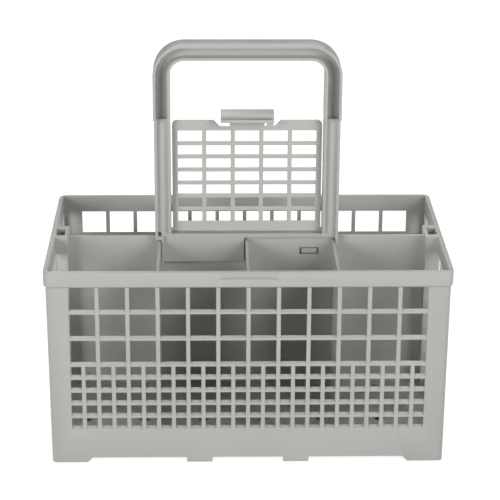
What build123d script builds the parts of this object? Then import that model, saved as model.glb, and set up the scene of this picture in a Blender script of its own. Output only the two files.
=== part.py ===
import math
import os

from build123d import *

# A dishwasher cutlery basket: one moulded grille box, a clip-on carrying handle and a hinged grille lid.
# Frame: origin on the standing plane below the middle of the box, +X along it, +Y to the back, +Z up.

# Basket box, millimetres
length = 241.6
width = 139.0
height = 124.8
rim_band = 9.95
rim_proud = 1.1
rim_top_width = 2.75
rim_edge = 0.45
rim_under_edge = 0.8
corner_radius = 4.5
outer_draft = 0.35
inner_draft = 0.85

# Grille of the walls: large windows above, windows of half the size below, large ones only in the ends
columns = 12
large_rows = 3
small_rows = 5
corner_jamb = 13.3
band_gap = 0.15
base_height = 21.35
mullion = 2.35
bar = 1.15
window_draft = 14.0
end_columns = 3
end_rows = 5
end_jamb = 7.4
end_gap = 0.4
cut_outside = 0.3
cut_inside = 3.6

# Floor, partitions and feet
floor_thickness = 2.2
floor_above_base = 1.65
floor_hole_x = 10.0
floor_hole_y = 11.0
floor_rows = 3
wall_thickness = 2.0
wall_below_rim = 2.7
divider_thickness = 1.5
divider_below_rim = 4.5
foot_height = 3.3
corner_foot = 23.5
foot_slant = 3.0
middle_foot_at = 29.2
middle_foot = 15.3

# Sockets at the two ends
post_width = 20.7
post_reach = 10.5
socket_length = 12.2
socket_width = 5.55
socket_wall = 1.9

# Catch on the front of the rim
catch_length = 37.2
catch_ridge = 30.4
catch_height = 4.3
catch_out = 1.4

# Handle
handle_rise = 120.05
handle_depth = 16.0
leg_width = 10.25
leg_depth = 11.6
leg_inset = 0.4
top_bar = 9.15
handle_radius = 19.0
flange = 1.6
web = 1.8
leg_recess = 2.3
recess_step = 73.6
leg_foot_gap = 1.1
base_thickness = 2.4
base_depth = 7.2
tongue_drop = 15.9
tongue_gap = 0.25
tongue_side_gap = 0.9
rib_thickness = 1.5
rib_clearance = 0.35
rib_below_tongue = 0.5
outer_rib_drop = 5.6
saddle_gap = 1.0
saddle_thickness = 1.9
pocket_depth = 2.6
slot_length = 11.8
slot_height = 4.5
slot_at = 38.9
slot_drop = 10.0
hook_length = 9.4
hook_height = 3.0
hook_reach = 1.95

# Lid
lid_gap = 1.0
lid_thickness = 2.0
lid_corner = 3.0
hinge_rise = 1.4
pin_radius = 1.3
pin_clearance = 0.05
pin_length = 2.2
lid_mullion = 2.6
lid_bar = 2.1
lid_columns = 5
lid_rows = 7
lid_side_frame = 3.4
lid_bottom_frame = 5.4
lid_top_frame = 6.35
lid_end_row_extra = 1.0
notch_half = 20.6
notch_depth = 4.05
stem_half = 10.6
tab_half = 16.1
tab_front = 9.0
tab_over_edge = 0.85
tab_clearance = 0.4
tab_lip = 1.85
tab_groove = 1.7
tab_groove_depth = 3.0
tab_top_lip = 2.15
tab_web_from = 11.8

# Sizes that follow from the ones above
half_length = length / 2
half_width = width / 2
column_pitch = (length - 2 * corner_jamb) / columns
grille_top = height - rim_band - band_gap
row_pitch = (grille_top - base_height) / (2 * large_rows + small_rows)
floor_top = base_height + floor_above_base
wall_top = height - wall_below_rim
divider_top = height - divider_below_rim
divider_at = columns / 4 * column_pitch
outer_lean = math.tan(math.radians(outer_draft))
inner_lean = math.tan(math.radians(inner_draft))
wall_radius = corner_radius - rim_proud
bottom_length = length - 2 * (rim_proud + height * outer_lean)
bottom_width = width - 2 * (rim_proud + height * outer_lean)
cavity_shrink = (height - floor_top) * inner_lean
cavity_length = length - 2 * rim_top_width
cavity_width = width - 2 * rim_top_width
floor_length = cavity_length - 2 * cavity_shrink
floor_width = cavity_width - 2 * cavity_shrink
front_face = half_width - rim_proud
end_face = half_length - rim_proud
end_pitch = (half_width - end_jamb - post_width / 2 - end_gap + mullion) / end_columns
frame_shift = catch_out / 2


# A block that stands from z = low to z = high, with drafted sides and sharp or round corners
def drafted_block(low, high, low_size, high_size, radius=0):
    with BuildPart() as block:
        with Locations((0, 0, low)):
            Wedge(
                low_size[0],
                high - low,
                low_size[1],
                (low_size[0] - high_size[0]) / 2,
                (low_size[1] - high_size[1]) / 2,
                (low_size[0] + high_size[0]) / 2,
                (low_size[1] + high_size[1]) / 2,
                rotation=(90, 0, 0),
                align=(Align.CENTER, Align.MIN, Align.CENTER),
            )
        if radius:
            fillet(block.edges().filter_by(lambda e: abs((e % 0.5).Z) > 0.9), radius)
    return block.part


# A window cut through a wall from just outside it, narrowing inwards along +Y of its place
def cut_window(opening_width, opening_height):
    spread = cut_outside * math.tan(math.radians(window_draft))
    narrowing = (cut_outside + cut_inside) * math.tan(math.radians(window_draft))
    wide = opening_width + 2 * spread
    tall = opening_height + 2 * spread
    Wedge(
        wide,
        cut_outside + cut_inside,
        tall,
        narrowing,
        narrowing,
        wide - narrowing,
        tall - narrowing,
        align=(Align.CENTER, Align.MIN, Align.CENTER),
        mode=Mode.SUBTRACT,
    )


# Middle heights of rows of large windows, from the rim band down, and of the small ones below them
def large_row_middles(rows):
    return [grille_top - (2 * i + 1) * row_pitch + bar / 2 for i in range(rows)]


def small_row_middles():
    below = grille_top - 2 * large_rows * row_pitch
    return [below - (i + 0.5) * row_pitch + bar / 2 for i in range(small_rows)]


# How far a wall's outer face stands back from its place at the rim, at a height
def lean_at(z):
    return (height - z) * outer_lean


large_x = [(i - (columns - 1) / 2) * column_pitch for i in range(columns)]
small_x = [(i - (2 * columns - 1) / 2) * column_pitch / 2 for i in range(2 * columns)]
first_y = post_width / 2 + end_gap + (end_pitch - mullion) / 2
end_y = [side * (first_y + i * end_pitch) for side in (-1, 1) for i in range(end_columns)]


# Places of windows on the front and the back, and on the two ends
def long_wall_places(along, middles):
    places = []
    for z in middles:
        front = front_face - lean_at(z) + cut_outside
        places += [Location((x, -front, z), (0, 0, 0)) for x in along]
        places += [Location((x, front, z), (0, 0, 180)) for x in along]
    return places


def end_wall_places(along, middles):
    places = []
    for z in middles:
        end = end_face - lean_at(z) + cut_outside
        places += [Location((end, y, z), (0, 0, 90)) for y in along]
        places += [Location((-end, y, z), (0, 0, -90)) for y in along]
    return places


# Rim band that stands proud all round the top of the box
with BuildPart() as rim:
    with BuildSketch(Plane.XY.offset(height - rim_band)):
        RectangleRounded(length, width, corner_radius)
    extrude(amount=rim_band)
    chamfer(rim.edges().group_by(Axis.Z)[-1], rim_edge)
    chamfer(rim.edges().group_by(Axis.Z)[0], rim_under_edge)

# Solid of the outer walls up into the band, and the space inside above the floor
walls = drafted_block(
    0,
    height - rim_band / 2,
    (bottom_length, bottom_width),
    (length - 2 * rim_proud - rim_band * outer_lean, width - 2 * rim_proud - rim_band * outer_lean),
    wall_radius,
)
cavity = drafted_block(floor_top, height, (floor_length, floor_width), (cavity_length, cavity_width))

# Box with its floor, windows, partitions, end sockets, catch and feet, moulded in one
with BuildPart() as basket:
    add(walls)
    add(rim.part)
    add(cavity, mode=Mode.SUBTRACT)
    # Open space below the floor
    with BuildSketch(Plane.XY):
        Rectangle(floor_length, floor_width)
    extrude(amount=floor_top - floor_thickness, mode=Mode.SUBTRACT)
    # Diamond holes of the floor, in staggered rows that miss the partitions
    row_step = floor_width / 2 / floor_rows
    hole_places = []
    for row in range(floor_rows):
        for side in (-1, 1):
            hole_places += [(x, side * (row + 0.5) * row_step) for x in large_x[row % 2 :: 2]]
    with BuildSketch(Plane.XY.offset(floor_top)):
        with Locations(*hole_places):
            Polygon(
                (floor_hole_x / 2, 0), (0, floor_hole_y / 2), (-floor_hole_x / 2, 0), (0, -floor_hole_y / 2)
            )
    extrude(amount=-floor_thickness, mode=Mode.SUBTRACT)
    # Middle wall with its two clip slots
    with BuildSketch(Plane.XY.offset(floor_top)):
        Rectangle(cavity_length - cavity_shrink, wall_thickness)
    extrude(amount=wall_top - floor_top)
    with BuildSketch(Plane.XZ):
        with Locations((slot_at, wall_top - slot_drop), (-slot_at, wall_top - slot_drop)):
            Rectangle(slot_length, slot_height)
    extrude(amount=wall_thickness, both=True, mode=Mode.SUBTRACT)
    # Front dividers, and the outer two again behind the middle wall
    reach = half_width - rim_top_width - cavity_shrink / 2
    with BuildSketch(Plane.XY.offset(floor_top)):
        with Locations((-divider_at, 0), (divider_at, 0)):
            Rectangle(divider_thickness, 2 * reach)
        with Locations((0, -reach / 2)):
            Rectangle(divider_thickness, reach)
    extrude(amount=divider_top - floor_top)
    # Sockets in the middle of both ends
    post_inner = half_length - post_reach
    post_outer = end_face - lean_at(floor_top) - rim_edge
    with BuildSketch(Plane.XY.offset(floor_top)):
        with Locations(((post_inner + post_outer) / 2, 0), (-(post_inner + post_outer) / 2, 0)):
            Rectangle(post_outer - post_inner, post_width)
    extrude(amount=height - floor_top)
    socket_middle = post_inner + socket_wall + socket_width / 2
    with BuildSketch(Plane.XY.offset(height)):
        with Locations((socket_middle, 0), (-socket_middle, 0)):
            Rectangle(socket_width, socket_length)
    extrude(amount=floor_top - height, mode=Mode.SUBTRACT)
    # Catch for the lid on the front of the rim
    with Locations(Location((0, -half_width, height - rim_edge - catch_height), (0, 0, 180))):
        Wedge(
            catch_length,
            catch_out,
            catch_height,
            (catch_length - catch_ridge) / 2,
            0.55 * catch_height,
            (catch_length + catch_ridge) / 2,
            0.55 * catch_height + 0.3,
            align=(Align.CENTER, Align.MIN, Align.MIN),
        )
    # Gaps between the feet
    first_gap = (middle_foot_at + middle_foot / 2, half_length - corner_foot)
    with BuildSketch(Plane.XZ):
        for side in (-1, 1):
            with BuildLine():
                Polyline(
                    (side * first_gap[0], 0),
                    (side * (first_gap[0] + 0.3), foot_height),
                    (side * (first_gap[1] - foot_slant), foot_height),
                    (side * first_gap[1], 0),
                    close=True,
                )
            make_face()
        inner = middle_foot_at - middle_foot / 2
        Polygon((-inner, 0), (inner, 0), (inner - 0.3, foot_height), (0.3 - inner, foot_height), align=None)
    extrude(amount=width, both=True, mode=Mode.SUBTRACT)
    end_gap = half_width - corner_foot
    with BuildSketch(Plane.YZ):
        Polygon(
            (-end_gap, 0),
            (end_gap, 0),
            (end_gap - foot_slant, foot_height),
            (foot_slant - end_gap, foot_height),
            align=None,
        )
    extrude(amount=length, both=True, mode=Mode.SUBTRACT)
    # Windows
    with Locations(*long_wall_places(large_x, large_row_middles(large_rows))):
        cut_window(column_pitch - mullion, 2 * row_pitch - bar)
    with Locations(*long_wall_places(small_x, small_row_middles())):
        cut_window(column_pitch / 2 - mullion, row_pitch - bar)
    with Locations(*end_wall_places(end_y, large_row_middles(end_rows))):
        cut_window(end_pitch - mullion, 2 * row_pitch - bar)

# Handle: a bow of I section on a base bar that sits on the middle wall, with clip tongues
handle_top = height + handle_rise
leg_outer = divider_at + divider_thickness / 2 + rib_clearance + flange
handle_half = leg_outer + leg_inset
bow_inner_half = handle_half - leg_width
inner_corner = handle_radius - leg_width
base_top = wall_top + base_thickness
leg_foot = base_top + leg_foot_gap
hinge_z = height + hinge_rise
step_z = height + recess_step
leg_middle = (leg_outer + bow_inner_half) / 2
tongue_outer = divider_at - divider_thickness / 2 - rib_clearance
tongue_inner = divider_thickness / 2 + tongue_side_gap
tongue_front = base_depth / 2
tongue_back = wall_thickness / 2 + tongue_gap
tongue_bottom = wall_top - tongue_drop
saddle_bottom = divider_top + saddle_gap
saddle_top = saddle_bottom + saddle_thickness


# Outline of an arch with round shoulders, standing on the line z = foot
def arch(half, top, radius, foot):
    with BuildSketch(Plane.XZ) as sketch:
        with BuildLine():
            FilletPolyline((-half, foot), (-half, top), (half, top), (half, foot), radius=radius)
            Line((half, foot), (-half, foot))
        make_face()
    return sketch.sketch


# A block between two corners
def block(low, high, mode=Mode.ADD):
    middle = tuple((a + b) / 2 for a, b in zip(low, high))
    with Locations(middle):
        Box(abs(high[0] - low[0]), abs(high[1] - low[1]), abs(high[2] - low[2]), mode=mode)


with BuildPart() as handle:
    # Grip and upper legs, with a deep recess front and back
    with BuildSketch(Plane.XZ):
        add(arch(handle_half, handle_top, handle_radius, step_z))
        add(arch(bow_inner_half, handle_top - top_bar, inner_corner, step_z - 1), mode=Mode.SUBTRACT)
    extrude(amount=handle_depth / 2, both=True)
    with BuildSketch(Plane.XZ):
        add(arch(handle_half - flange, handle_top - flange, handle_radius - flange, step_z))
        add(
            arch(bow_inner_half + flange, handle_top - top_bar + flange, inner_corner + flange, step_z - 1),
            mode=Mode.SUBTRACT,
        )
    recess = extrude(amount=(handle_depth - web) / 2, mode=Mode.PRIVATE)
    with Locations((0, -web / 2, 0), (0, handle_depth / 2, 0)):
        add(recess, mode=Mode.SUBTRACT)
    # Lower legs, thinner front to back, with a shallow recess that is open at the foot
    for side in (-1, 1):
        block((side * bow_inner_half, -leg_depth / 2, leg_foot), (side * leg_outer, leg_depth / 2, step_z))
        for face in (-1, 1):
            block(
                (side * (bow_inner_half + flange), face * (leg_depth / 2 - leg_recess), leg_foot),
                (side * (leg_outer - flange), face * leg_depth / 2, step_z),
                mode=Mode.SUBTRACT,
            )
        block((side * bow_inner_half, -base_depth / 2, wall_top), (side * leg_outer, base_depth / 2, leg_foot))
    # Base bar between the legs
    block((-leg_middle, -base_depth / 2, wall_top), (leg_middle, base_depth / 2, base_top))
    # Feet of the legs, the left one in front and the right one behind, and the other two turned about
    for turn in (1, -1):
        # Clip tongue before half of the wall, with a rib beside the divider
        block(
            (-turn * tongue_outer, -turn * tongue_front, tongue_bottom),
            (-turn * tongue_inner, -turn * tongue_back, base_top),
        )
        block(
            (-turn * tongue_outer, -turn * leg_depth / 2, tongue_bottom - rib_below_tongue),
            (-turn * (tongue_outer - rib_thickness), -turn * tongue_back, saddle_top),
        )
        # Saddle over the divider, from the rib out to the flange of the leg, with a pocket above it
        block(
            (-turn * leg_outer, -turn * leg_depth / 2, saddle_bottom),
            (-turn * (tongue_outer - rib_thickness), -turn * tongue_back, saddle_top),
        )
        block(
            (-turn * leg_outer, -turn * leg_depth / 2, saddle_bottom),
            (-turn * (leg_outer - flange), -turn * tongue_back, leg_foot),
        )
        block(
            (-turn * (leg_outer - flange), -turn * tongue_front, saddle_top),
            (-turn * tongue_outer, -turn * (tongue_front - pocket_depth), leg_foot),
            mode=Mode.SUBTRACT,
        )
        # Rib outside the other divider
        block(
            (turn * (leg_outer - flange), -turn * leg_depth / 2, wall_top - outer_rib_drop),
            (turn * leg_outer, -turn * tongue_back, leg_foot),
        )
        # Snap hook that stands in the slot of the wall
        hook_z = wall_top - slot_drop
        block(
            (-turn * (slot_at - hook_length / 2), -turn * tongue_back, hook_z - hook_height / 2),
            (-turn * (slot_at + hook_length / 2), -turn * (tongue_back - hook_reach), hook_z + hook_height / 2),
        )
    # Bores for the lid's pins in the inner sides of the legs
    with BuildSketch(Plane.YZ):
        with Locations((0, hinge_z)):
            Circle(pin_radius + pin_clearance)
    extrude(amount=bow_inner_half + pin_length, both=True, mode=Mode.SUBTRACT)

# Lid: a grille flap with a hinge barrel below, a notch above and a hook tab in the notch.
# It reaches from the hinge to the catch on the rim.
lid_half = bow_inner_half - lid_gap
tab_rise = half_width + catch_out + tab_clearance
lid_rise = tab_rise - tab_over_edge
lid_pitch_x = (2 * lid_half - 2 * lid_side_frame + lid_mullion) / lid_columns
rows_span = lid_rise - lid_bottom_frame - lid_top_frame - 2 * lid_end_row_extra
lid_pitch_z = (rows_span + lid_bar) / lid_rows
lid_top = hinge_z + lid_rise
notch_floor = lid_top - notch_depth
tab_low = hinge_z + tab_rise
tab_top = tab_low + tab_lip + tab_groove + tab_top_lip
row_height = lid_pitch_z - lid_bar
first_row = hinge_z + lid_bottom_frame + lid_end_row_extra + row_height / 2
lid_row_z = [first_row + i * lid_pitch_z for i in range(lid_rows)]
lid_column_x = [(i - (lid_columns - 1) / 2) * lid_pitch_x for i in range(lid_columns)]

with BuildPart() as lid:
    with BuildSketch(Plane.XZ):
        with BuildLine():
            FilletPolyline(
                (-lid_half, hinge_z),
                (-lid_half, lid_top),
                (lid_half, lid_top),
                (lid_half, hinge_z),
                radius=lid_corner,
            )
            Line((lid_half, hinge_z), (-lid_half, hinge_z))
        make_face()
        with BuildLine():
            Polyline(
                (-notch_half, lid_top),
                (notch_half, lid_top),
                (notch_half - notch_depth, notch_floor),
                (notch_depth - notch_half, notch_floor),
                close=True,
            )
        make_face(mode=Mode.SUBTRACT)
        # Rows of equal windows, the first and the last a little taller
        for i, z in enumerate(lid_row_z):
            extra = lid_end_row_extra if i in (0, lid_rows - 1) else 0
            lift = -extra / 2 if i == 0 else extra / 2
            with Locations(*[(x, z + lift) for x in lid_column_x]):
                Rectangle(lid_pitch_x - lid_mullion, row_height + extra, mode=Mode.SUBTRACT)
        # Stem of the tab, and the small web beside it
        with Locations((0, (notch_floor + tab_low) / 2)):
            Rectangle(2 * stem_half, tab_low - notch_floor + 1)
        with Locations(((tab_web_from + tab_half) / 2, (notch_floor + tab_low) / 2)):
            Rectangle(tab_half - tab_web_from, tab_low - notch_floor + 1)
    extrude(amount=lid_thickness / 2, both=True)
    # Hook tab: two lips with a groove between them, standing forward of the flap
    with BuildSketch(Plane.YZ):
        with BuildLine():
            Polyline(
                (lid_thickness / 2, tab_low),
                (lid_thickness / 2, tab_top),
                (-tab_front, tab_top - 0.3),
                (-tab_front, tab_low + tab_lip + tab_groove),
                (tab_groove_depth - tab_front, tab_low + tab_lip + tab_groove),
                (tab_groove_depth - tab_front, tab_low + tab_lip),
                (-tab_front, tab_low + tab_lip),
                (-tab_front, tab_low),
                close=True,
            )
        make_face()
    extrude(amount=tab_half, both=True)
    # Hinge barrel along the lower edge, whose ends are the pins
    with BuildSketch(Plane.YZ):
        with Locations((0, hinge_z)):
            Circle(pin_radius)
    extrude(amount=lid_half + pin_length, both=True)

# The frame's origin is in the middle of the whole outline, so the catch moves the box back by half its reach.
shift = Location((0, frame_shift, 0))
os.makedirs("parts", exist_ok=True)
basket.part.move(shift)
basket.part.label = "basket"
export_step(basket.part, "parts/basket.step")
handle.part.move(shift)
handle.part.label = "handle"
export_step(handle.part, "parts/handle.step")
lid.part.move(shift)
lid.part.label = "lid"
export_step(lid.part, "parts/lid.step")
for piece in (basket.part, handle.part, lid.part):
    print(piece.label, "solids", len(piece.solids()), "volume", round(piece.volume), piece.bounding_box().size)
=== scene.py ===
import itertools
import math

import bpy
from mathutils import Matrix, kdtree


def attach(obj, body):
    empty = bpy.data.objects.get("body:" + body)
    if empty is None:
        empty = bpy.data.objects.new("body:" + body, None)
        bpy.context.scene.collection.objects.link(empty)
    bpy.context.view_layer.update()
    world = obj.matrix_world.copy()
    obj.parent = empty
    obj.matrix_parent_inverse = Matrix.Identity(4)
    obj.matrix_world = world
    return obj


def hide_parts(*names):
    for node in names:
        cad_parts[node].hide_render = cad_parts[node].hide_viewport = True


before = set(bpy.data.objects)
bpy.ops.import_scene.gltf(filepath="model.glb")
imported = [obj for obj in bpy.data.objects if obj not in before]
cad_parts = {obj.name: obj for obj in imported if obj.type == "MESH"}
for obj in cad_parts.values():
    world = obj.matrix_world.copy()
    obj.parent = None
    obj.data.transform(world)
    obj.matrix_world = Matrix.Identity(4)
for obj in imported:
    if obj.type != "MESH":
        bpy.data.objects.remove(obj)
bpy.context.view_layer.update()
scene = bpy.context.scene
print("frame loaded:", sorted(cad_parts))


# Plain mixer: blends two colours or two numbers by a factor socket
def mixNode(tree, dataType):
    node = tree.nodes.new("ShaderNodeMix")
    node.data_type = dataType
    return node


# Even noise on the moulding's own coordinates, scale in cells per metre
def noiseNode(tree, coordinates, scale, detail=2.0, stretch=None):
    node = tree.nodes.new("ShaderNodeTexNoise")
    node.inputs["Scale"].default_value = scale
    node.inputs["Detail"].default_value = detail
    if stretch is None:
        tree.links.new(coordinates, node.inputs["Vector"])
        return node
    mapping = tree.nodes.new("ShaderNodeMapping")
    mapping.inputs["Scale"].default_value = stretch
    tree.links.new(coordinates, mapping.inputs["Vector"])
    tree.links.new(mapping.outputs["Vector"], node.inputs["Vector"])
    return node


# Stretches one range of a value to another
def rangeNode(tree, value, low, high, toLow=0.0, toHigh=1.0):
    node = tree.nodes.new("ShaderNodeMapRange")
    node.inputs["From Min"].default_value = low
    node.inputs["From Max"].default_value = high
    node.inputs["To Min"].default_value = toLow
    node.inputs["To Max"].default_value = toHigh
    tree.links.new(value, node.inputs["Value"])
    return node


# Grain of the mould's skin: noise cells per metre, and the part of each noise that shows
skinGrain = {
    "cloudCells": 26.0,
    "cloudRange": (0.32, 0.68),
    "streakCells": 9.0,
    "streakStretch": (3.0, 14.0, 22.0),
    "streakRange": (0.5, 0.78),
    "patchCells": 60.0,
    "patchRange": (0.3, 0.7),
    "pimpleCells": 1900.0,
    "pimpleDepth": 0.00005,
    # Patches of the painted highlight on the rounded edges, and the least of it that any patch keeps
    "edgeHighlightCells": 75.0,
    "edgeHighlightRange": (0.25, 0.6),
    "edgeHighlightLeast": 0.35,
}


# Group: cloudy pigment, flow streaks and fine pimples of the mould's skin
def buildMouldSkin():
    tree = bpy.data.node_groups.new("mouldSkin", "ShaderNodeTree")
    face = tree.interface
    for name, kind in (
        ("Pigment", "NodeSocketColor"),
        ("Streak Colour", "NodeSocketColor"),
        ("Cloud", "NodeSocketFloat"),
        ("Streak", "NodeSocketFloat"),
        ("Satin Low", "NodeSocketFloat"),
        ("Satin High", "NodeSocketFloat"),
    ):
        face.new_socket(name, in_out="INPUT", socket_type=kind)
    face.new_socket("Colour", in_out="OUTPUT", socket_type="NodeSocketColor")
    face.new_socket("Roughness", in_out="OUTPUT", socket_type="NodeSocketFloat")
    face.new_socket("Height", in_out="OUTPUT", socket_type="NodeSocketFloat")
    inside = tree.nodes.new("NodeGroupInput")
    outside = tree.nodes.new("NodeGroupOutput")
    places = tree.nodes.new("ShaderNodeTexCoord").outputs["Object"]

    # Pigment clouds about 40 mm across
    cloud = noiseNode(tree, places, skinGrain["cloudCells"], 3.0)
    cloudShare = rangeNode(tree, cloud.outputs["Fac"], *skinGrain["cloudRange"])
    cloudAmount = tree.nodes.new("ShaderNodeMath")
    cloudAmount.operation = "MULTIPLY"
    tree.links.new(cloudShare.outputs["Result"], cloudAmount.inputs[0])
    tree.links.new(inside.outputs["Cloud"], cloudAmount.inputs[1])
    clouded = mixNode(tree, "RGBA")
    tree.links.new(cloudAmount.outputs[0], clouded.inputs["Factor"])
    tree.links.new(inside.outputs["Pigment"], clouded.inputs["A"])
    tree.links.new(inside.outputs["Streak Colour"], clouded.inputs["B"])

    # Flow streaks drawn out along the fill of the mould
    streak = noiseNode(tree, places, skinGrain["streakCells"], 4.0, skinGrain["streakStretch"])
    streakShare = rangeNode(tree, streak.outputs["Fac"], *skinGrain["streakRange"])
    streakAmount = tree.nodes.new("ShaderNodeMath")
    streakAmount.operation = "MULTIPLY"
    tree.links.new(streakShare.outputs["Result"], streakAmount.inputs[0])
    tree.links.new(inside.outputs["Streak"], streakAmount.inputs[1])
    streaked = mixNode(tree, "RGBA")
    tree.links.new(streakAmount.outputs[0], streaked.inputs["Factor"])
    tree.links.new(clouded.outputs["Result"], streaked.inputs["A"])
    tree.links.new(inside.outputs["Streak Colour"], streaked.inputs["B"])
    tree.links.new(streaked.outputs["Result"], outside.inputs["Colour"])

    # Satin patches
    patch = noiseNode(tree, places, skinGrain["patchCells"], 3.0)
    patchShare = rangeNode(tree, patch.outputs["Fac"], *skinGrain["patchRange"])
    satin = mixNode(tree, "FLOAT")
    tree.links.new(patchShare.outputs["Result"], satin.inputs["Factor"])
    tree.links.new(inside.outputs["Satin Low"], satin.inputs["A"])
    tree.links.new(inside.outputs["Satin High"], satin.inputs["B"])
    tree.links.new(satin.outputs["Result"], outside.inputs["Roughness"])

    # Pimples of a spark-worn mould, about half a millimetre across
    pimple = noiseNode(tree, places, skinGrain["pimpleCells"])
    tree.links.new(pimple.outputs["Fac"], outside.inputs["Height"])
    return tree


# Group: painted highlight along the rounded edges, a little paler in patches and smoother than the faces
def buildPaintedEdgeHighlight():
    tree = bpy.data.node_groups.new("paintedEdgeHighlight", "ShaderNodeTree")
    face = tree.interface
    for name, kind in (
        ("Colour", "NodeSocketColor"),
        ("Painted Highlight Colour", "NodeSocketColor"),
        ("Roughness", "NodeSocketFloat"),
        ("Edge Roughness", "NodeSocketFloat"),
        ("Amount", "NodeSocketFloat"),
    ):
        face.new_socket(name, in_out="INPUT", socket_type=kind)
    face.new_socket("Colour", in_out="OUTPUT", socket_type="NodeSocketColor")
    face.new_socket("Roughness", in_out="OUTPUT", socket_type="NodeSocketFloat")
    inside = tree.nodes.new("NodeGroupInput")
    outside = tree.nodes.new("NodeGroupOutput")
    places = tree.nodes.new("ShaderNodeTexCoord").outputs["Object"]
    edge = tree.nodes.new("ShaderNodeAttribute")
    edge.attribute_name = "roundedEdge"
    patch = noiseNode(tree, places, skinGrain["edgeHighlightCells"], 3.0)
    patchShare = rangeNode(tree, patch.outputs["Fac"], *skinGrain["edgeHighlightRange"], skinGrain["edgeHighlightLeast"])
    patchyEdge = tree.nodes.new("ShaderNodeMath")
    patchyEdge.operation = "MULTIPLY"
    tree.links.new(edge.outputs["Fac"], patchyEdge.inputs[0])
    tree.links.new(patchShare.outputs["Result"], patchyEdge.inputs[1])
    share = tree.nodes.new("ShaderNodeMath")
    share.operation = "MULTIPLY"
    tree.links.new(patchyEdge.outputs[0], share.inputs[0])
    tree.links.new(inside.outputs["Amount"], share.inputs[1])
    colour = mixNode(tree, "RGBA")
    tree.links.new(share.outputs[0], colour.inputs["Factor"])
    tree.links.new(inside.outputs["Colour"], colour.inputs["A"])
    tree.links.new(inside.outputs["Painted Highlight Colour"], colour.inputs["B"])
    tree.links.new(colour.outputs["Result"], outside.inputs["Colour"])
    gloss = mixNode(tree, "FLOAT")
    tree.links.new(share.outputs[0], gloss.inputs["Factor"])
    tree.links.new(inside.outputs["Roughness"], gloss.inputs["A"])
    tree.links.new(inside.outputs["Edge Roughness"], gloss.inputs["B"])
    tree.links.new(gloss.outputs["Result"], outside.inputs["Roughness"])
    return tree


mouldSkin = buildMouldSkin()
paintedEdgeHighlight = buildPaintedEdgeHighlight()


def newMaterial(name):
    material = bpy.data.materials.new(name)
    material.use_nodes = True
    material.node_tree.nodes.clear()
    return material, material.node_tree.nodes, material.node_tree.links


# Grey polypropylene of one moulding
def makePolypropylene(name, look):
    material, nodes, links = newMaterial(name)
    skin = nodes.new("ShaderNodeGroup")
    skin.node_tree = mouldSkin
    skin.inputs["Pigment"].default_value = (*look["pigment"], 1)
    skin.inputs["Streak Colour"].default_value = (*look["streakColour"], 1)
    skin.inputs["Cloud"].default_value = look["cloud"]
    skin.inputs["Streak"].default_value = look["streak"]
    skin.inputs["Satin Low"].default_value = look["satin"][0]
    skin.inputs["Satin High"].default_value = look["satin"][1]
    # Painted highlight: the rounded edges take a paler colour and a lower roughness
    edgeHighlightPaint = nodes.new("ShaderNodeGroup")
    edgeHighlightPaint.node_tree = paintedEdgeHighlight
    edgeHighlightPaint.inputs["Painted Highlight Colour"].default_value = (*look["paintedHighlightColour"], 1)
    edgeHighlightPaint.inputs["Edge Roughness"].default_value = look["edgeRoughness"]
    edgeHighlightPaint.inputs["Amount"].default_value = look["edgeHighlightPaint"]
    links.new(skin.outputs["Colour"], edgeHighlightPaint.inputs["Colour"])
    links.new(skin.outputs["Roughness"], edgeHighlightPaint.inputs["Roughness"])
    bump = nodes.new("ShaderNodeBump")
    bump.inputs["Strength"].default_value = look["pimple"]
    bump.inputs["Distance"].default_value = skinGrain["pimpleDepth"]
    links.new(skin.outputs["Height"], bump.inputs["Height"])
    shader = nodes.new("ShaderNodeBsdfPrincipled")
    shader.inputs["IOR"].default_value = 1.49
    shader.inputs["Specular IOR Level"].default_value = look["specular"]
    links.new(edgeHighlightPaint.outputs["Colour"], shader.inputs["Base Color"])
    links.new(edgeHighlightPaint.outputs["Roughness"], shader.inputs["Roughness"])
    links.new(bump.outputs["Normal"], shader.inputs["Normal"])
    output = nodes.new("ShaderNodeOutputMaterial")
    links.new(shader.outputs["BSDF"], output.inputs["Surface"])
    return material


# One entry for each moulding: its edge rounding in metres and its finish, whose paler edge colour is a
# painted highlight
mouldings = {
    "basket": {
        "piece": "basketMoulding",
        "body": "basket_with_handle",
        "rounding": 0.00022,
        "pigment": (0.50, 0.495, 0.47),
        "streakColour": (0.465, 0.46, 0.435),
        "cloud": 0.35,
        "streak": 0.25,
        "satin": (0.4, 0.52),
        "paintedHighlightColour": (0.6, 0.595, 0.57),
        "edgeRoughness": 0.32,
        "edgeHighlightPaint": 0.7,
        "pimple": 0.25,
        "specular": 0.45,
    },
    "handle": {
        "piece": "handleMoulding",
        "body": "basket_with_handle",
        "rounding": 0.00035,
        "pigment": (0.485, 0.482, 0.46),
        "streakColour": (0.45, 0.447, 0.425),
        "cloud": 0.35,
        "streak": 0.3,
        "satin": (0.38, 0.5),
        "paintedHighlightColour": (0.6, 0.597, 0.575),
        "edgeRoughness": 0.28,
        "edgeHighlightPaint": 0.8,
        "pimple": 0.2,
        "specular": 0.45,
    },
    "lid": {
        "piece": "lidMoulding",
        "body": "lid",
        "rounding": 0.0002,
        "pigment": (0.50, 0.495, 0.47),
        "streakColour": (0.465, 0.46, 0.435),
        "cloud": 0.3,
        "streak": 0.25,
        "satin": (0.4, 0.52),
        "paintedHighlightColour": (0.6, 0.595, 0.57),
        "edgeRoughness": 0.32,
        "edgeHighlightPaint": 0.7,
        "pimple": 0.2,
        "specular": 0.45,
    },
}


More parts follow.
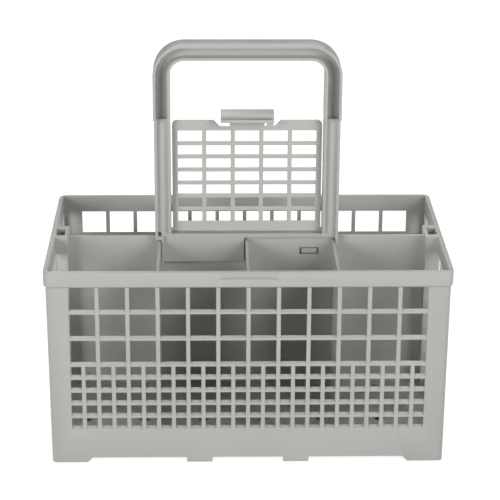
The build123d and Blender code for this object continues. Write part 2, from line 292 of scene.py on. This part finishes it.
# Grille of the basket's walls in metres: rows go down from the top, columns out from the middle
grille = {
    "top": 0.1147,
    "rowPitch": 0.00848636,
    "bar": 0.00115,
    "columnPitch": 0.01791667,
    "mullion": 0.00235,
    "columns": 12,
    "largeRows": 3,
    "smallRows": 5,
    "endRows": 5,
    "endColumns": 3,
    "endPitch": 0.0179,
    "endWidth": 0.01555,
    "endFirst": 0.018525,
    "middleY": 0.0007,
    "rimHeight": 0.1248,
    "frontInside": 0.06675,
    "endInside": 0.11805,
    "insideLean": math.tan(math.radians(0.85)),
    "outsideBehind": (0.00165, 0.008728),
    "cutSlope": math.tan(math.radians(14)),
    "sillRise": 0.0012,
    "sideInset": 0.00005,
    "cornerReach": 0.00012,
}


# Middles and half sizes of the windows of one wall, along it and up it
def grilleWindows(wall):
    windows = []
    tall = 2 * grille["rowPitch"]
    if wall == "end":
        for row in range(grille["endRows"]):
            up = grille["top"] - (row + 0.5) * tall + grille["bar"] / 2
            for column in range(grille["endColumns"]):
                for side in (-1, 1):
                    along = side * (grille["endFirst"] + column * grille["endPitch"])
                    windows.append((along, up, grille["endWidth"] / 2, (tall - grille["bar"]) / 2))
        return windows
    for row in range(grille["largeRows"]):
        up = grille["top"] - (row + 0.5) * tall + grille["bar"] / 2
        for column in range(grille["columns"]):
            along = (column - (grille["columns"] - 1) / 2) * grille["columnPitch"]
            halfWide = (grille["columnPitch"] - grille["mullion"]) / 2
            windows.append((along, up, halfWide, (tall - grille["bar"]) / 2))
    smallTop = grille["top"] - grille["largeRows"] * tall
    for row in range(grille["smallRows"]):
        up = smallTop - (row + 0.5) * grille["rowPitch"] + grille["bar"] / 2
        for column in range(2 * grille["columns"]):
            along = (column + 0.5 - grille["columns"]) * grille["columnPitch"] / 2
            halfWide = (grille["columnPitch"] / 2 - grille["mullion"]) / 2
            windows.append((along, up, halfWide, (grille["rowPitch"] - grille["bar"]) / 2))
    return windows


# Inside corners of the windows: sides run straight through the wall, sills rise inwards
def shapeWindows(piece):
    corners = kdtree.KDTree(len(piece.data.vertices))
    for vertex in piece.data.vertices:
        corners.insert(vertex.co, vertex.index)
    corners.balance()
    moved = 0
    for wall, inside in (("front", grille["frontInside"]), ("end", grille["endInside"])):
        for along, up, halfWide, halfTall in grilleWindows(wall):
            for side, edge, face in itertools.product((-1, 1), (-1, 1), (-1, 1)):
                # Where the cut meets the wall's inside, whose depth grows downwards
                below = grille["rimHeight"] - up - edge * halfTall
                depth = grille["outsideBehind"][0] + grille["outsideBehind"][1] * below
                narrowing = depth * grille["cutSlope"]
                oldUp = up + edge * (halfTall - narrowing)
                newUp = up + edge * halfTall
                newUp += grille["sillRise"] if edge < 0 else -narrowing
                oldAlong = along + side * (halfWide - narrowing)
                newAlong = along + side * (halfWide - grille["sideInset"])
                oldOut = face * (inside - grille["insideLean"] * (grille["rimHeight"] - oldUp))
                newOut = face * (inside - grille["insideLean"] * (grille["rimHeight"] - newUp))
                oldPlace = (oldAlong, oldOut + grille["middleY"], oldUp)
                newPlace = (newAlong, newOut + grille["middleY"], newUp)
                if wall == "end":
                    oldPlace = (oldOut, oldAlong + grille["middleY"], oldUp)
                    newPlace = (newOut, newAlong + grille["middleY"], newUp)
                index, miss = corners.find(oldPlace)[1:]
                if miss < grille["cornerReach"]:
                    piece.data.vertices[index].co = newPlace
                    moved += 1
    print("window corners shaped:", moved)


# How a copy of a node is merged, and which of its edges are rounded, in metres and degrees
merging = {"gap": 0.000002, "flat": 0.4, "sharp": 30, "segments": 2}


# A merged copy of the moulding, its sharp edges rounded as a mould leaves them
def roundMoulding(nodeName, look):
    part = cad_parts[nodeName]
    bpy.ops.object.select_all(action="DESELECT")
    piece = bpy.data.objects.new(look["piece"], part.data.copy())
    scene.collection.objects.link(piece)
    piece.select_set(True)
    bpy.context.view_layer.objects.active = piece
    bpy.ops.object.mode_set(mode="EDIT")
    bpy.ops.mesh.select_all(action="SELECT")
    bpy.ops.mesh.remove_doubles(threshold=merging["gap"])
    bpy.ops.mesh.dissolve_limited(angle_limit=math.radians(merging["flat"]))
    bpy.ops.object.mode_set(mode="OBJECT")
    if nodeName == "basket":
        shapeWindows(piece)
    bpy.ops.object.shade_smooth()
    piece.data.materials.clear()
    piece.data.materials.append(makePolypropylene(nodeName + "Polypropylene", look))
    piece.data.materials.append(None)
    rounding = piece.modifiers.new("edgeRounding", "BEVEL")
    rounding.width = look["rounding"]
    rounding.segments = merging["segments"]
    rounding.limit_method = "ANGLE"
    rounding.angle_limit = math.radians(merging["sharp"])
    rounding.use_clamp_overlap = True
    rounding.loop_slide = False
    rounding.harden_normals = True
    rounding.material = 1
    bpy.ops.object.modifier_apply(modifier="edgeRounding")
    # Faces made by the rounding are marked for the shader's painted edge highlight
    edge = piece.data.attributes.new("roundedEdge", "FLOAT", "FACE")
    for face in piece.data.polygons:
        edge.data[face.index].value = float(face.material_index == 1)
        face.material_index = 0
    piece.data.materials.pop(index=1)
    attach(piece, look["body"])
    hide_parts(nodeName)
    return piece


for nodeName, look in mouldings.items():
    piece = roundMoulding(nodeName, look)
    print("moulding finished:", piece.name, len(piece.data.polygons), "faces")

# Floor and backdrop: white to the camera, with the basket's shadow; below the basket the glow is cut
# away, a painted shadow
ground = {"size": 6.0, "colour": 0.35, "glow": 0.88, "paintedShadowHalf": (0.102, 0.05), "fade": 0.012}
bpy.ops.object.select_all(action="DESELECT")
bpy.ops.mesh.primitive_plane_add(size=ground["size"], location=(0, 0, 0))
floor = bpy.context.active_object
floor.name = "studioFloor"
material, nodes, links = newMaterial("studioFloorPaper")
tree = material.node_tree
paper = nodes.new("ShaderNodeBsdfDiffuse")
paper.inputs["Color"].default_value = (ground["colour"], ground["colour"], ground["colour"], 1)
places = nodes.new("ShaderNodeTexCoord")
axes = nodes.new("ShaderNodeSeparateXYZ")
links.new(places.outputs["Object"], axes.inputs[0])
outside = nodes.new("ShaderNodeMath")
outside.operation = "MAXIMUM"
# Glow rises from nothing inside the basket's footprint to full outside it: a painted shadow below the
# basket
for index, start in enumerate(ground["paintedShadowHalf"]):
    away = nodes.new("ShaderNodeMath")
    away.operation = "ABSOLUTE"
    links.new(axes.outputs[index], away.inputs[0])
    edge = rangeNode(tree, away.outputs[0], start, start + ground["fade"], 0.0, ground["glow"])
    links.new(edge.outputs["Result"], outside.inputs[index])
glow = nodes.new("ShaderNodeEmission")
links.new(outside.outputs[0], glow.inputs["Strength"])
both = nodes.new("ShaderNodeAddShader")
path = nodes.new("ShaderNodeLightPath")
seen = nodes.new("ShaderNodeMath")
seen.operation = "MAXIMUM"
seenMore = nodes.new("ShaderNodeMath")
seenMore.operation = "MAXIMUM"
choose = nodes.new("ShaderNodeMixShader")
output = nodes.new("ShaderNodeOutputMaterial")
links.new(path.outputs["Is Camera Ray"], seen.inputs[0])
links.new(path.outputs["Is Glossy Ray"], seen.inputs[1])
links.new(seen.outputs[0], seenMore.inputs[0])
links.new(path.outputs["Is Transmission Ray"], seenMore.inputs[1])
links.new(paper.outputs[0], both.inputs[0])
links.new(glow.outputs[0], both.inputs[1])
links.new(seenMore.outputs[0], choose.inputs[0])
links.new(paper.outputs[0], choose.inputs[1])
links.new(both.outputs[0], choose.inputs[2])
links.new(choose.outputs[0], output.inputs["Surface"])
floor.data.materials.append(material)
print("floor laid")

# Sky of the studio: white to the camera, dim as a light
sky = {"fill": 0.06, "white": 1.0}
world = bpy.data.worlds.new("studioSky")
scene.world = world
world.use_nodes = True
nodes, links = world.node_tree.nodes, world.node_tree.links
nodes.clear()
path = nodes.new("ShaderNodeLightPath")
fill = nodes.new("ShaderNodeBackground")
fill.inputs["Strength"].default_value = sky["fill"]
white = nodes.new("ShaderNodeBackground")
white.inputs["Strength"].default_value = sky["white"]
white.inputs["Color"].default_value = (1, 1, 1, 1)
choose = nodes.new("ShaderNodeMixShader")
output = nodes.new("ShaderNodeOutputWorld")
links.new(path.outputs["Is Camera Ray"], choose.inputs[0])
links.new(fill.outputs[0], choose.inputs[1])
links.new(white.outputs[0], choose.inputs[2])
links.new(choose.outputs[0], output.inputs["Surface"])

# Softboxes: direction they stand in, distance, width and height, and power; all aim at one height
lampAim = 0.1
softboxes = {
    "leftSoftbox": {"azimuth": -43, "elevation": 12, "distance": 1.4, "size": (0.7, 0.7), "power": 11.5},
    "rightSoftbox": {"azimuth": 43, "elevation": 22, "distance": 1.4, "size": (0.7, 1.1), "power": 12.6},
    "backSoftbox": {"azimuth": 180, "elevation": 54, "distance": 1.4, "size": (1.2, 0.8), "power": 13.0},
}
for name, box in softboxes.items():
    azimuth = math.radians(box["azimuth"])
    elevation = math.radians(box["elevation"])
    away = box["distance"]
    place = (
        away * math.sin(azimuth) * math.cos(elevation),
        -away * math.cos(azimuth) * math.cos(elevation),
        lampAim + away * math.sin(elevation),
    )
    bpy.ops.object.light_add(type="AREA", location=place)
    lamp = bpy.context.active_object
    lamp.name = name
    lamp.data.shape = "RECTANGLE"
    lamp.data.size, lamp.data.size_y = box["size"]
    lamp.data.energy = box["power"]
    lamp.rotation_euler = (math.pi / 2 - elevation, 0, azimuth)
print("softboxes set")

# Camera at the photograph's place, found from the corners of the rim, the feet and the handle
view = {
    "place": (-0.02266, -1.07955, 0.522891),
    "turn": (69.1947, -0.2935, -1.2055),
    "lens": 133.66,
}
bpy.ops.object.camera_add(location=view["place"])
camera = bpy.context.active_object
camera.name = "photoCamera"
camera.rotation_euler = [math.radians(angle) for angle in view["turn"]]
camera.data.lens = view["lens"]
camera.data.sensor_width = 36
camera.data.clip_start = 0.01
scene.camera = camera
scene.view_settings.view_transform = "Standard"
print("camera set")
